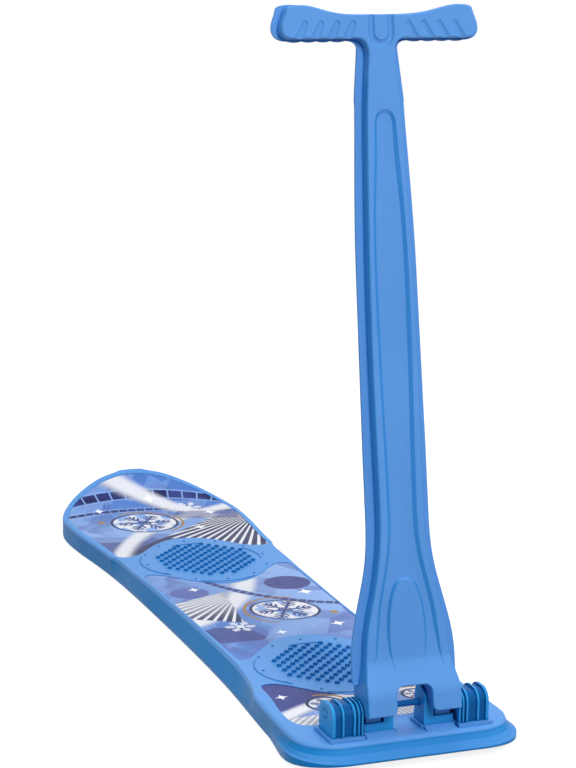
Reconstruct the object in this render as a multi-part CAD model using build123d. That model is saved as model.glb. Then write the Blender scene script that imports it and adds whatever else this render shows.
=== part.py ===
from build123d import *
import os
from math import ceil, cos, pi, radians, sin, sqrt

# Snow scooter: a hollow plastic board with a T handle hinged near the nose.
# Millimetres. X is across, -Y the nose, +Y the tail, Z up.
# The origin is on the ground, under the middle of the board.

# Board
BOARD_LENGTH = 1016.0
DECK_HEIGHT = 28.0
SHELL_WALL = 3.2
NOSE_ROUND = 4.5
TAIL_ROUND = 2.5
NOSE_HALF_WIDTH = 122.0
WAIST_HALF_WIDTH = 109.0
TAIL_HALF_WIDTH = 125.6
TAIL_REACH = 104.0
TAIL_POWER = 1.94
NOSE_LIP = 20.0
NOSE_FLARE = 8.5
NOSE_CORNER = 44.0
LIP_CORNER = 55.0
NOSE_RISE = 11.0
NOSE_RUN = 110.0
LIP_THICKNESS = 2.4
APRON = ((1.0, 0.0), (0.72, 1.4), (0.36, 4.6), (0.10, 9.0), (0.0, 13.0))
SHOULDER_FOOT = 5.0
SHOULDER_INSET = 11.5
KICK_RADIUS = 135.0
KICK_HEIGHT = 43.7
KICK_TIP = 20.0
SOLE_RISE_LENGTH = 126.0
SOLE_THICKNESS = 3.0
SOLE_GAP = 0.3
GROOVE_WIDTH = 9.0
GROOVE_DEPTH = 1.2
GROOVE_SPACING = 31.0
RIB = 2.4
RIB_SPACING = 92.0
RIB_SIDE = 47.0

# Foot pads and labels
PAD_Y = (-251.0, 176.0)
STUD_PITCH = 11.5
STUD_SIDE = 5.2
STUD_TOP = 3.6
STUD_HEIGHT = 3.3
STUD_FIELD = (65.0, 71.0)
PIP_SIZE = (2.6, 1.1)
PIP_RING = (79.0, 88.0)
PIP_COUNT = 12
PAD_ARCS = ((87, 76, 152, 222), (84, 97, 244, 296), (74, 70, -12, 30), (78, 74, 74, 106))
LABEL_POCKET = 1.0
LABEL_FILM = 0.4
LABEL_GAP = 0.4
LABEL_RIM = 8.0
LOBE_X = 88.0
LOBE_ROUND = 14.0

# Hinge
AXLE_FROM_NOSE = 49.0
AXLE_ABOVE_DECK = 25.2
AXLE_RADIUS = 3.5
BORE_GAP = 0.08
BRACKET_WIDTH = 34.4
BRACKET_FRONT = 21.5
BRACKET_REAR = 16.5
BRACKET_TOP = 12.3
BRACKET_CORNER = 14.0
BRACKET_RIBS = ((0.0, 1.8), (4.2, 1.6), (8.6, 2.2), (21.2, 2.2), (31.2, 3.2))
BRACKET_CORE_STEP = 2.4
BRACKET_WALL = 3.0
PLATFORM = 3.6
PLATFORM_MARGIN = 3.5
RAMP = 11.0
CRADLE_INNER = 17.5
CRADLE_INSET = 2.2
CRADLE_FRONT = 14.5
CRADLE_REAR = 12.0
CRADLE_TOP = -12.4
EAR_WIDTH = 11.0
EAR_RADIUS = 12.6
EAR_CENTRE = (-1.5, 6.4)
EAR_SWEEP = 20.0
CAP_RADIUS = 7.0
CAP_SEAT = 3.6
CAP_PROUD = 0.4
CAP_BORE = 1.8

# Handle
LEAN = 9.8
FLANGE_BACK = 2.5
FLANGE = 3.0
PANEL_FRONT = 18.5
PANEL_WALL = 3.4
STEM_ROUND = 1.6
RECESS_DEPTH = 2.5
RECESS_SLOPE = 4.0
TONGUE_SLOPE = 3.0
RAMP_TOP = 54.0
RAMP_FOOT = 12.0
FADE_TOP = 104.0
FADE_FOOT = 38.0
BAR_HEIGHT = 718.7
BAR_RISE = 10.0
BAR_DEPTH = 27.0
BAR_HALF = 115.2
BAR_FLANGE = 7.0
FOOT_HALF = 53.2
FOOT_FRONT = 32.0
FOOT_BOTTOM = -5.6
FOOT_WALL = 3.0
CUTOUT_HALF = 20.0
CUTOUT_TOP = 23.0
CUTOUT_ROUND = 8.0
TOE_ROUND = 7.0
BARREL_RADIUS = 9.6
WASHER_GAP = 0.3
WASHER_THICKNESS = 1.1
STOP_GAP = 0.3
STEM_RIBS = 11
FLANGE_FOOT = 26.0
GRIP_COUNT = 4
GRIP_STEP = 17.6
GRIP_FIRST = (92.6, 83.6)
GRIP_RADII = (9.6, 5.2)
GRIP_DEPTHS = (2.2, 1.3)

# Screws
SCREW_RADIUS = 2.0
SCREW_HEAD_RADIUS = 3.8
BOSS_RADIUS = 4.6
COUNTERSINK = 2.2
PAN_HEAD = 2.6
SOLE_SCREW_LENGTH = 16.0
SOLE_SCREW_X = 62.0
SOLE_SCREW_ROWS = 6
SOLE_SCREW_ENDS = (118.0, 170.0)
HINGE_SCREW_LENGTH = 16.4
SCREW_TIP_GAP = 0.6

NOSE_Y = -BOARD_LENGTH / 2
TAIL_Y = BOARD_LENGTH / 2
AXLE_Y = NOSE_Y + AXLE_FROM_NOSE
AXLE_Z = DECK_HEIGHT + AXLE_ABOVE_DECK
CREST_Y = NOSE_Y + NOSE_LIP
HINGE_BOSS_Z = DECK_HEIGHT - SHELL_WALL - 3.0
SEAT = PLATFORM - AXLE_ABOVE_DECK
SCREW_TIP = HINGE_BOSS_Z + HINGE_SCREW_LENGTH - AXLE_Z
BRACKET_INNER = FOOT_HALF + WASHER_GAP + WASHER_THICKNESS
BRACKET_OUTER = BRACKET_INNER + BRACKET_WIDTH
CRADLE_OUTER = FOOT_HALF - CRADLE_INSET
KICK_Y = TAIL_Y - sqrt(2 * KICK_RADIUS * KICK_HEIGHT - KICK_HEIGHT**2)
FAR = 200.0
ON_BASE = (Align.CENTER, Align.CENTER, Align.MIN)


def save(node, shape):
    os.makedirs("parts", exist_ok=True)
    export_step(shape, f"parts/{node}.step")
    print(node, round(shape.volume), len(shape.solids()))


def raise_face(face, amount):
    return extrude(face, amount=amount, dir=(0, 0, 1))


def mirrored_face(right_edges, z=0.0):
    """A face from the edges of its right half, which start and end on X = 0."""
    left_edges = [edge.mirror(Plane.YZ) for edge in right_edges]
    return Pos(0, 0, z) * Face(Wire(list(right_edges) + left_edges))


def across(profile, half=FAR):
    """A side profile drawn as (y, z) and extruded over X on both sides."""
    return extrude(Plane.YZ * profile, amount=half, both=True)


# Board outline, seen from above
def tail_points(count=9, start=0.0):
    """The rounded tail end, a superellipse quarter."""
    reach, power = TAIL_REACH, TAIL_POWER
    points = []
    for i in range(count + 1):
        turn = pi / 2 * i / count
        x = (TAIL_HALF_WIDTH - start) * cos(turn) ** (2 / power)
        y = TAIL_Y - reach + (reach - start) * sin(turn) ** (2 / power)
        points.append((x, y))
    return points


def side_points():
    """The side of the board: wide at the nose and tail, drawn in at the waist."""
    nose, waist, tail = NOSE_HALF_WIDTH, WAIST_HALF_WIDTH, TAIL_HALF_WIDTH
    length = BOARD_LENGTH
    return [
        (nose, NOSE_Y + 0.085 * length),
        (waist + 0.33 * (nose - waist), NOSE_Y + 0.25 * length),
        (waist, NOSE_Y + 0.40 * length),
        (waist, NOSE_Y + 0.55 * length),
        (waist + 0.08 * (tail - waist), NOSE_Y + 0.65 * length),
        (waist + 0.24 * (tail - waist), NOSE_Y + 0.72 * length),
        (waist + 0.58 * (tail - waist), NOSE_Y + 0.79 * length),
    ]


def board_face(inset=0.0):
    nose_corner = NOSE_CORNER
    half = NOSE_HALF_WIDTH
    front = CREST_Y + inset
    nose = ThreePointArc(
        (half - nose_corner, front),
        (half - inset - nose_corner * (1 - sin(pi / 4)), front + nose_corner * (1 - sin(pi / 4))),
        (half - inset, front + nose_corner),
    )
    side = [(x - inset, y) for x, y in side_points()]
    tail = tail_points(start=inset)
    front_line = Line((0, front), (half - nose_corner, front))
    flank = Spline((half - inset, front + nose_corner), *side, tail[0], tangents=[(0, 1), (0, 1)])
    end = Spline(*tail, tangents=[(0, 1), (-1, 0)])
    return mirrored_face([front_line, nose, flank, end])


def side_profile(drop=0.0, under=0.0):
    """Side view of the board, lowered by drop on top and raised by under below."""
    top = DECK_HEIGHT - drop
    kick_centre = DECK_HEIGHT + KICK_RADIUS
    radius = KICK_RADIUS + drop
    reach = TAIL_Y + 20 - KICK_Y
    kick_z = kick_centre - sqrt(radius**2 - reach**2)
    kick_mid = kick_centre - sqrt(radius**2 - (reach / 2) ** 2)
    tip = DECK_HEIGHT + KICK_HEIGHT - KICK_TIP
    run = SOLE_RISE_LENGTH
    sole_radius = (run**2 + tip**2) / (2 * tip) - under
    sole_y = TAIL_Y - run
    sole_centre = under + sole_radius
    sole_reach = reach + KICK_Y - sole_y
    sole_mid = sole_centre - sqrt(sole_radius**2 - (sole_reach / 2) ** 2)
    sole_end = sole_centre - sqrt(sole_radius**2 - sole_reach**2)
    nose_run = NOSE_RUN
    nose_radius = (nose_run**2 + NOSE_RISE**2) / (2 * NOSE_RISE) - under
    nose_y = NOSE_Y + nose_run
    nose_reach = nose_run + 5
    nose_centre = under + nose_radius
    nose_mid = nose_centre - sqrt(nose_radius**2 - (nose_reach / 2) ** 2)
    nose_end = nose_centre - sqrt(nose_radius**2 - nose_reach**2)
    start = nose_y - nose_reach
    edges = [
        Line((start, top), (KICK_Y, top)),
        ThreePointArc((KICK_Y, top), (KICK_Y + reach / 2, kick_mid), (KICK_Y + reach, kick_z)),
        Line((KICK_Y + reach, kick_z), (KICK_Y + reach, sole_end)),
        ThreePointArc((sole_y + sole_reach, sole_end), (sole_y + sole_reach / 2, sole_mid), (sole_y, under)),
        Line((sole_y, under), (nose_y, under)),
        ThreePointArc((nose_y, under), (nose_y - nose_reach / 2, nose_mid), (start, nose_end)),
        Line((start, nose_end), (start, top)),
    ]
    return Face(Wire(edges))


def lip_face(z, outset):
    """The nose outline, from the flared lip (outset 1) to the crest (outset 0)."""
    half = NOSE_HALF_WIDTH + NOSE_FLARE * outset
    corner = NOSE_CORNER + (LIP_CORNER - NOSE_CORNER) * outset
    front = CREST_Y - NOSE_LIP * outset
    back_y = NOSE_Y + 0.175 * BOARD_LENGTH
    back_x = NOSE_HALF_WIDTH - 5.0
    edge = Line((0, front), (half - corner, front))
    arc = ThreePointArc(
        (half - corner, front),
        (half - corner * (1 - sin(pi / 4)), front + corner * (1 - sin(pi / 4))),
        (half, front + corner),
    )
    middle_x = NOSE_HALF_WIDTH + 0.40 * NOSE_FLARE * outset
    flank = Spline(
        (half, front + corner),
        (middle_x, NOSE_Y + 0.095 * BOARD_LENGTH),
        (back_x, back_y),
        tangents=[(0, 1), (-0.06, 1)],
    )
    back = Line((back_x, back_y), (0, back_y))
    return mirrored_face([edge, arc, flank, back], z)


def nose_skirt():
    """The concave skirt that runs from the deck's crest down and out to the thin lip."""
    lip_top = NOSE_RISE + LIP_THICKNESS
    skirt = raise_face(lip_face(0, 1), lip_top)
    layers = [lip_face(lip_top + rise, outset) for outset, rise in APRON]
    for lower, upper in zip(layers, layers[1:]):
        skirt = skirt + loft([lower, upper], ruled=True)
    return skirt


def shoulder_tool(shift=0.0):
    """What is cut from the right side so that the waist slopes in towards the deck."""
    inset = SHOULDER_INSET
    rows = [
        (0.165, 6.0, 6.0),
        (0.187, -2.6, 1.0),
        (0.220, -0.72 * inset, 0.6),
        (0.253, -inset, 0.5),
        (0.354, -inset, 0.5),
        (0.447, -0.93 * inset, 0.5),
        (0.531, -0.72 * inset, 0.5),
        (0.610, -0.55 * inset, 0.5),
        (0.674, -0.42 * inset, 0.5),
        (0.711, -0.34 * inset, 0.6),
        (0.727, 1.0, 2.0),
        (0.735, 6.0, 6.0),
    ]
    nose_end, tail_start = (NOSE_HALF_WIDTH, CREST_Y + NOSE_CORNER), tail_points()[0]
    flank = Spline(nose_end, *side_points(), tail_start, tangents=[(0, 1), (0, 1)])

    def width_at(y):
        low, high = 0.0, 1.0
        for _ in range(30):
            middle = (low + high) / 2
            if (flank @ middle).Y < y:
                low = middle
            else:
                high = middle
        return (flank @ low).X

    faces = []
    for z, column in ((SHOULDER_FOOT, 2), (DECK_HEIGHT + 0.5, 1)):
        points = []
        for row in rows:
            y = NOSE_Y + row[0] * BOARD_LENGTH
            points.append((width_at(y) + row[column] - shift, y))
        inner = Spline(*points)
        first, last = points[0], points[-1]
        edges = [
            inner,
            Line(last, (FAR, last[1])),
            Line((FAR, last[1]), (FAR, first[1])),
            Line((FAR, first[1]), first),
        ]
        faces.append(Pos(0, 0, z) * Face(Wire(edges)))
    return loft(faces, ruled=True)


# Label outlines: each ends in two lobes and arches round a foot pad
def arch_edges(pad_y, side, half, grow=0.0):
    """The arched edge of a label beside a pad, from the middle out to the edge x = half."""
    near, far = side * (42.0 - grow), side * (104.0 - grow)
    return Spline(
        (0, pad_y + far),
        (22, pad_y + far - side * 5.5),
        (50, pad_y + near + side * 34),
        (70, pad_y + near + side * 11),
        (LOBE_X, pad_y + near),
        (half, pad_y + near + side * LOBE_ROUND),
        tangents=[(1, 0), (0, side)],
    )


def end_of(edge):
    return ((edge @ 1).X, (edge @ 1).Y)


def label_faces(gap=0.0):
    """Plan outlines of the rear, middle and front labels."""
    front_pad, rear_pad = PAD_Y
    start = arch_edges(rear_pad, 1, 106.0 - gap, gap * -1)
    tail = tail_points(start=LABEL_RIM + gap)
    widest = side_points()[-1]
    flank_middle = (widest[0] - LABEL_RIM - gap, widest[1])
    flank = Spline(end_of(start), flank_middle, *tail, tangents=[(0.03, 1), (-1, 0)])
    rear = mirrored_face([start, flank])
    top = arch_edges(rear_pad, -1, 99.5 - gap, gap * -1)
    bottom = arch_edges(front_pad, 1, 93.5 - gap, gap * -1)
    middle_side = Line(top @ 1, bottom @ 1)
    middle = mirrored_face([top, middle_side, bottom])
    crown = arch_edges(front_pad, -1, 101.0 - gap, gap * -1)
    front_y = AXLE_Y + BRACKET_REAR + PLATFORM_MARGIN + 12.0 + gap
    foot_x = 86.0 - gap
    side = Spline(end_of(crown), (108 - gap, front_y + 34), (foot_x, front_y), tangents=[(0, -1), (-1, 0)])
    front = mirrored_face([crown, side, Line((foot_x, front_y), (0, front_y))])
    return {"rear_label": rear, "middle_label": middle, "front_label": front}


def label_band(top_drop, bottom_drop):
    """The layer of the board between two depths under the deck surface."""
    return across(side_profile(drop=top_drop)) - across(side_profile(drop=bottom_drop))


def grip_pads():
    """Raised studs, pips and thin arcs of both foot pads."""
    step = STUD_PITCH / sqrt(2)
    base = DECK_HEIGHT - 0.4
    studs = []
    stud = loft(
        [
            Rot(0, 0, 45) * Rectangle(STUD_SIDE, STUD_SIDE),
            Pos(0, 0, STUD_HEIGHT + 0.4) * Rot(0, 0, 45) * Rectangle(STUD_TOP, STUD_TOP),
        ]
    )
    pip = Cylinder(PIP_SIZE[0] / 2, PIP_SIZE[1] + 0.4, align=ON_BASE)
    reach = ceil(STUD_FIELD[1] / step)
    for pad_y in PAD_Y:
        for i in range(-reach, reach + 1):
            for j in range(-reach, reach + 1):
                x, y = i * step, j * step
                inside = (x / STUD_FIELD[0]) ** 2 + (y / STUD_FIELD[1]) ** 2 < 1
                if (i + j) % 2 == 0 and inside:
                    studs.append(Pos(x, pad_y + y, base) * stud)
        for k in range(PIP_COUNT):
            turn = 2 * pi * k / PIP_COUNT
            studs.append(Pos(PIP_RING[0] * cos(turn), pad_y + PIP_RING[1] * sin(turn), base) * pip)
        studs.extend(pad_arcs(pad_y, base))
    return studs


def pad_arcs(pad_y, base, width=1.5, height=0.8):
    """Four thin raised arcs that frame the studs."""
    arcs = []
    for radius_x, radius_y, start, end in PAD_ARCS:
        points_out, points_in = [], []
        for k in range(7):
            turn = radians(start + (end - start) * k / 6)
            points_out.append((radius_x * cos(turn), pad_y + radius_y * sin(turn)))
            points_in.append(((radius_x - width) * cos(turn), pad_y + (radius_y - width) * sin(turn)))
        outer = Spline(*points_out)
        inner = Spline(*points_in[::-1])
        ring = Wire([outer, Line(points_out[-1], points_in[-1]), inner, Line(points_in[0], points_out[0])])
        arcs.append(Pos(0, 0, base) * raise_face(Face(ring), height + 0.4))
    return arcs


def sole_screw_places():
    places = []
    first, last = NOSE_Y + SOLE_SCREW_ENDS[0], TAIL_Y - SOLE_SCREW_ENDS[1]
    for k in range(SOLE_SCREW_ROWS):
        y = first + k * (last - first) / (SOLE_SCREW_ROWS - 1)
        for x in (-SOLE_SCREW_X, SOLE_SCREW_X):
            places.append((x, y))
    return places


def hinge_screw_places():
    """Two screws in each outer bracket and one in each cradle."""
    middle = (BRACKET_INNER + BRACKET_OUTER) / 2
    places = []
    for side in (-1, 1):
        for x, y in ((middle - 9.0, -11.0), (middle + 9.0, -11.0), (CRADLE_INNER + 22.0, 1.0)):
            places.append((side * x, AXLE_Y + y))
    return places


def deck_ribs():
    """Ribs and screw bosses that stiffen the board from inside."""
    ribs = []
    for k in range(int(BOARD_LENGTH // RIB_SPACING)):
        ribs.append(Pos(0, NOSE_Y + 75.0 + k * RIB_SPACING, 40) * Box(2 * FAR, RIB, 100))
    for x in (-RIB_SIDE, 0.0, RIB_SIDE):
        ribs.append(Pos(x, 0, 40) * Box(RIB, BOARD_LENGTH, 100))
    for x, y in sole_screw_places():
        ribs.append(Pos(x, y, 40) * Cylinder(BOSS_RADIUS, 100))
    for x, y in hinge_screw_places():
        ribs.append(Pos(x, y, HINGE_BOSS_Z + 50) * Cylinder(BOSS_RADIUS + 1.5, 100))
    return ribs[0] + ribs[1:]


def find_again(body, edges):
    """The edges of a changed body that lie where some of its old edges lay."""
    middles = [edge @ 0.5 for edge in edges]
    return [edge for edge in body.edges() if any((edge @ 0.5 - middle).length < 0.01 for middle in middles)]


def deck_shell():
    tall = DECK_HEIGHT + KICK_HEIGHT + 30
    body = (raise_face(board_face(), tall) + nose_skirt()) & across(side_profile())
    tool = shoulder_tool()
    body = body - tool - tool.mirror(Plane.YZ)
    nose_edges, tail_edges = [], []
    for edge in body.edges():
        middle = edge @ 0.5
        if middle.Y < NOSE_Y + 0.15 * BOARD_LENGTH and abs(middle.Z - DECK_HEIGHT) < 0.01:
            nose_edges.append(edge)
        if middle.Y > KICK_Y and middle.Z > DECK_HEIGHT + 0.5:
            tail_edges.append(edge)
    body = fillet(nose_edges, NOSE_ROUND)
    body = fillet(find_again(body, tail_edges), TAIL_ROUND)
    inner_tool = shoulder_tool(SHELL_WALL)
    cavity = Pos(0, 0, -10) * raise_face(board_face(SHELL_WALL), tall)
    cavity = cavity - inner_tool - inner_tool.mirror(Plane.YZ)
    body = body - (cavity & across(side_profile(drop=SHELL_WALL, under=-30)))
    room = cavity & across(side_profile(drop=SHELL_WALL - 1.0, under=SOLE_THICKNESS))
    body = body + (deck_ribs() & room)
    platform = at_axle(hinge_platform())
    body = body + platform + platform.mirror(Plane.YZ)
    for face in label_faces().values():
        body = body - (raise_face(face, tall) & label_band(-1, LABEL_POCKET))
    for x, y in sole_screw_places():
        body = body - Pos(x, y, 8) * Cylinder(SCREW_RADIUS, 22)
    for x, y in hinge_screw_places():
        body = body - Pos(x, y, DECK_HEIGHT) * Cylinder(SCREW_RADIUS + BORE_GAP, 40)
    return body + grip_pads()


def sole_plate():
    """The running base that closes the board from below, with three grooves."""
    outline = raise_face(board_face(SHELL_WALL + SOLE_GAP), DECK_HEIGHT + KICK_HEIGHT)
    layer = across(side_profile()) - across(side_profile(drop=-1, under=SOLE_THICKNESS))
    plate = outline & layer
    length = BOARD_LENGTH - 300
    for x in (-GROOVE_SPACING, 0, GROOVE_SPACING):
        plate = plate - Pos(x, -10, 0) * sole_groove(length, GROOVE_WIDTH, GROOVE_DEPTH)
    for x, y in sole_screw_places():
        plate = plate - Pos(x, y, 0) * sole_screw(BORE_GAP, GROOVE_DEPTH)
    return plate


def sole_groove(length, width, depth):
    """A round-ended groove along Y, cut upwards from the ground plane."""
    slot = Rot(0, 0, 90) * SlotOverall(length, width)
    return Pos(0, 0, -depth) * raise_face(slot, 2 * depth)


def sole_screw(gap=0.0, below=0.0):
    """A countersunk screw with its head flush under the sole."""
    head_radius, radius = SCREW_HEAD_RADIUS + gap, SCREW_RADIUS + gap
    shank = Cylinder(radius, SOLE_SCREW_LENGTH, align=ON_BASE)
    screw = shank + Cone(head_radius, radius, COUNTERSINK, align=ON_BASE)
    if below:
        screw = screw + Pos(0, 0, -below) * Cylinder(head_radius, below, align=ON_BASE)
    return screw


def hinge_screw():
    """A pan-head screw driven up through the deck into a hinge block."""
    head = Pos(0, 0, -PAN_HEAD) * Cylinder(SCREW_HEAD_RADIUS, PAN_HEAD, align=ON_BASE)
    shank = Cylinder(SCREW_RADIUS, HINGE_SCREW_LENGTH, align=ON_BASE)
    slot = Box(4.2, 1.0, 1.6)
    return head + shank - Pos(0, 0, -PAN_HEAD) * (Rot(0, 0, 45) * slot + Rot(0, 0, -45) * slot)


def labels():
    films = {}
    for node, face in label_faces(LABEL_GAP).items():
        layer = label_band(LABEL_POCKET - LABEL_FILM, LABEL_POCKET)
        films[node] = raise_face(face, DECK_HEIGHT + KICK_HEIGHT + 30) & layer
    return films


# Hinge: everything is drawn about the axle, then moved to it
def at_axle(shape):
    return Pos(0, AXLE_Y, AXLE_Z) * shape


def block(x0, x1, y0, y1, z0, z1):
    return Pos((x0 + x1) / 2, (y0 + y1) / 2, (z0 + z1) / 2) * Box(x1 - x0, y1 - y0, z1 - z0)


def rounded_profile(x0, x1, inset=0.0):
    """The bracket's side shape, flat below and round on top, between two x."""
    solid = block(x0, x1, inset - BRACKET_FRONT, BRACKET_REAR - inset, SEAT, BRACKET_TOP - inset)
    tops = solid.edges().filter_by(Axis.X).sort_by(Axis.Z)[-2:]
    return fillet(tops, BRACKET_CORNER - inset)


def along_x(radius, x0, x1):
    return Pos((x0 + x1) / 2, 0, 0) * Rot(0, 90, 0) * Cylinder(radius, x1 - x0)


def hinge_platform():
    """The deck's raised platform under the right pair of hinge blocks, with a ramp in front."""
    deck = -AXLE_ABOVE_DECK
    root = deck - 0.9 * SHELL_WALL
    rear = BRACKET_REAR + PLATFORM_MARGIN
    front = -BRACKET_FRONT - PLATFORM_MARGIN
    outer = block(BRACKET_INNER - 1.0, BRACKET_OUTER + PLATFORM_MARGIN, front, rear, root, SEAT)
    inner_x = CRADLE_INNER - 0.8 * PLATFORM_MARGIN
    front = -CRADLE_FRONT
    inner = block(inner_x, BRACKET_INNER, front, CRADLE_REAR + PLATFORM_MARGIN, root, SEAT)
    slope = Polyline((front, root), (front, SEAT), (front - RAMP, deck), (front - RAMP, root), close=True)
    wedge = Plane.YZ.offset(CRADLE_INNER) * Face(Wire(slope.edges()))
    return outer + inner + extrude(wedge, amount=CRADLE_OUTER - CRADLE_INNER)


def screw_holes(radius, z0, z1):
    """Holes at the right hinge screws, between two heights about the axle."""
    holes = []
    for x, y in hinge_screw_places():
        if x > 0:
            holes.append(Pos(x, y - AXLE_Y, (z0 + z1) / 2) * Cylinder(radius, z1 - z0))
    return holes


def outer_bracket():
    """The right ribbed block, cored out from below, that carries one end of the axle."""
    body = rounded_profile(BRACKET_INNER, BRACKET_OUTER, BRACKET_CORE_STEP)
    for start, width in BRACKET_RIBS:
        body = body + rounded_profile(BRACKET_INNER + start, BRACKET_INNER + start + width)
    wall = BRACKET_CORE_STEP + BRACKET_WALL
    core = rounded_profile(BRACKET_INNER + BRACKET_WALL, BRACKET_OUTER - BRACKET_WALL, wall)
    bosses = screw_holes(BOSS_RADIUS, SEAT, BRACKET_TOP)
    hub = along_x(AXLE_RADIUS + 3.0, BRACKET_INNER, BRACKET_OUTER)
    socket = along_x(CAP_RADIUS + 2.2, BRACKET_OUTER - CAP_SEAT - 2.0, BRACKET_OUTER)
    body = body - (core - hub - socket - bosses)
    body = body - along_x(CAP_RADIUS + BORE_GAP, BRACKET_OUTER - CAP_SEAT, BRACKET_OUTER + 1)
    body = body - along_x(AXLE_RADIUS + BORE_GAP, BRACKET_INNER - 1, BRACKET_OUTER)
    return body - screw_holes(SCREW_RADIUS, SEAT - 1, SCREW_TIP + SCREW_TIP_GAP)


def inner_cradle():
    """The right inner block: a base under the foot and an ear that carries the axle."""
    body = block(CRADLE_INNER, CRADLE_OUTER, -CRADLE_FRONT, CRADLE_REAR, SEAT, CRADLE_TOP)
    body = fillet(body.edges().filter_by(Axis.X).sort_by(Axis.Z)[-2:], 1.2)
    ear_y, ear_z = EAR_CENTRE
    ear_end = CRADLE_INNER + EAR_WIDTH
    body = body + block(CRADLE_INNER, ear_end, ear_y - EAR_RADIUS, ear_y + EAR_RADIUS, SEAT, ear_z)
    body = body + Pos(0, ear_y, ear_z) * along_x(EAR_RADIUS, CRADLE_INNER, ear_end)
    body = body - along_x(AXLE_RADIUS + BORE_GAP, 0, CRADLE_OUTER)
    return body - screw_holes(SCREW_RADIUS, SEAT - 1, SCREW_TIP + SCREW_TIP_GAP)


def axle_rod():
    half = BRACKET_OUTER - CAP_SEAT + CAP_BORE
    rod = along_x(AXLE_RADIUS, -half, half)
    return chamfer(rod.edges().filter_by(GeomType.CIRCLE), 0.6)


def axle_cap():
    """The right push-in cap that hides and holds the axle's end, nearly flush with the bracket."""
    start = BRACKET_OUTER - CAP_SEAT
    end = BRACKET_OUTER + CAP_PROUD
    cap = along_x(CAP_RADIUS, start, end)
    cap = fillet(cap.edges().filter_by(GeomType.CIRCLE).sort_by(Axis.X)[-1], 0.4)
    ring = along_x(CAP_RADIUS - 1.3, end - 0.8, end + 1) - along_x(CAP_RADIUS - 2.4, start, end + 2)
    return cap - ring - along_x(AXLE_RADIUS + BORE_GAP, start - 1, start + CAP_BORE + 0.3)


def friction_washer():
    """The right washer, flat against the bracket and just clear of the foot."""
    disc = along_x(BARREL_RADIUS, FOOT_HALF + WASHER_GAP, BRACKET_INNER)
    return disc - along_x(AXLE_RADIUS + BORE_GAP, 0, FAR)


# Handle, drawn upright: X across, Z up the stem from the axle, -Y the front
def slab(face, back, front):
    return extrude(Plane.XZ.offset(back) * face, amount=front - back, dir=(0, -1, 0))


def bar_edges(inset, end_inset, start, fillet_x):
    """The T bar's outline from the stem to the middle of its top."""
    low = BAR_HEIGHT - BAR_DEPTH + inset
    corner = BAR_HALF - 16.5 - 0.3 * end_inset
    edges = []
    edges.append(Spline(start, (fillet_x, low), tangents=[(-0.10, 1), (1, 0)]))
    if inset:
        edges.append(Line((fillet_x, low), (corner, low)))
    else:
        pitch = (corner - fillet_x) / GRIP_COUNT
        for k in range(GRIP_COUNT):
            x = fillet_x + k * pitch
            edges.append(ThreePointArc((x, low), (x + pitch / 2, low - 1.2), (x + pitch, low)))
    top = BAR_HEIGHT + BAR_RISE - inset
    half = BAR_HALF - end_inset
    edges.append(
        Spline(
            (corner, low),
            (half, low + 16.5 - 0.4 * inset),
            (half - 4.5, top - 7.0),
            (half - 17.0, top),
            tangents=[(1, 0), (-1, 0.06)],
        )
    )
    crown = [(half - 17.0, top), (0.52 * half, top - 6.4), (0, top - BAR_RISE)]
    edges.append(Spline(*crown, tangents=[(-1, 0.06), (-1, 0)]))
    return edges


def flange_face():
    foot = FLANGE_FOOT
    stem_top = (22.6, BAR_HEIGHT - 36.0)
    bottom = Line((0, foot), (54.8, foot))
    corner = ThreePointArc((54.8, foot), (57.6, foot + 1.2), (58.8, foot + 4))
    flank = Spline(
        (58.8, foot + 4),
        (58.2, 60),
        (55.0, 82),
        (47.5, 113),
        (38.6, 152),
        (35.6, 217),
        (35.2, 300),
        (34.0, 425),
        (32.0, 522),
        (27.4, 628),
        stem_top,
        tangents=[(0, 1), (-0.10, 1)],
    )
    return mirrored_face([bottom, corner, flank] + bar_edges(0.0, 0.0, stem_top, 35.0))


def panel_edges(low, shrink=0.0):
    """The raised panel's outline, right half, above a height."""
    stem_top = (14.8 - shrink, BAR_HEIGHT - 44.0)
    foot = FOOT_HALF - shrink
    flank = Spline(
        (foot, 14.0),
        (48.8 - shrink, 44.0),
        (45.6 - shrink, 75.0),
        (36.5 - shrink, 116.0),
        (26.4 - shrink, 176.0),
        (25.2 - shrink, 225.0),
        (25.8 - shrink, 300.0),
        (25.3 - shrink, 426.0),
        (22.9 - shrink, 528.0),
        (18.8 - shrink, 630.0),
        stem_top,
        tangents=[(0, 1), (-0.10, 1)],
    )
    side = Line((foot, low), (foot, 14.0))
    return [Line((0, low), (foot, low)), side, flank] + bar_edges(
        1.6 + shrink, BAR_FLANGE + shrink, stem_top, 28.0 - shrink
    )


def front_reach(z):
    """How far the front stands forward at a height: the stem below, the foot further out."""
    share = min(max((RAMP_TOP - z) / (RAMP_TOP - RAMP_FOOT), 0.0), 1.0)
    return PANEL_FRONT + (FOOT_FRONT - PANEL_FRONT) * share**2 * (3 - 2 * share)


def front_profile(depth=0.0, back=0.0, low=FOOT_BOTTOM):
    """Side view of the handle, as (y, z): the foot stands forward of the stem."""
    stem, foot = -(PANEL_FRONT - depth), -(FOOT_FRONT - depth)
    top = BAR_HEIGHT + BAR_RISE + 10
    steps = 6
    rise = (RAMP_TOP - RAMP_FOOT) / steps
    ramp = [(depth - front_reach(RAMP_FOOT + k * rise), RAMP_FOOT + k * rise) for k in range(steps + 1)]
    edges = [
        Line((-back, low), (foot, low)),
        Line((foot, low), (foot, RAMP_FOOT)),
        Spline(*ramp, tangents=[(0, 1), (0, 1)]),
        Line((stem, RAMP_TOP), (stem, top)),
        Line((stem, top), (-back, top)),
        Line((-back, top), (-back, low)),
    ]
    return across(Face(Wire(edges)))


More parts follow.
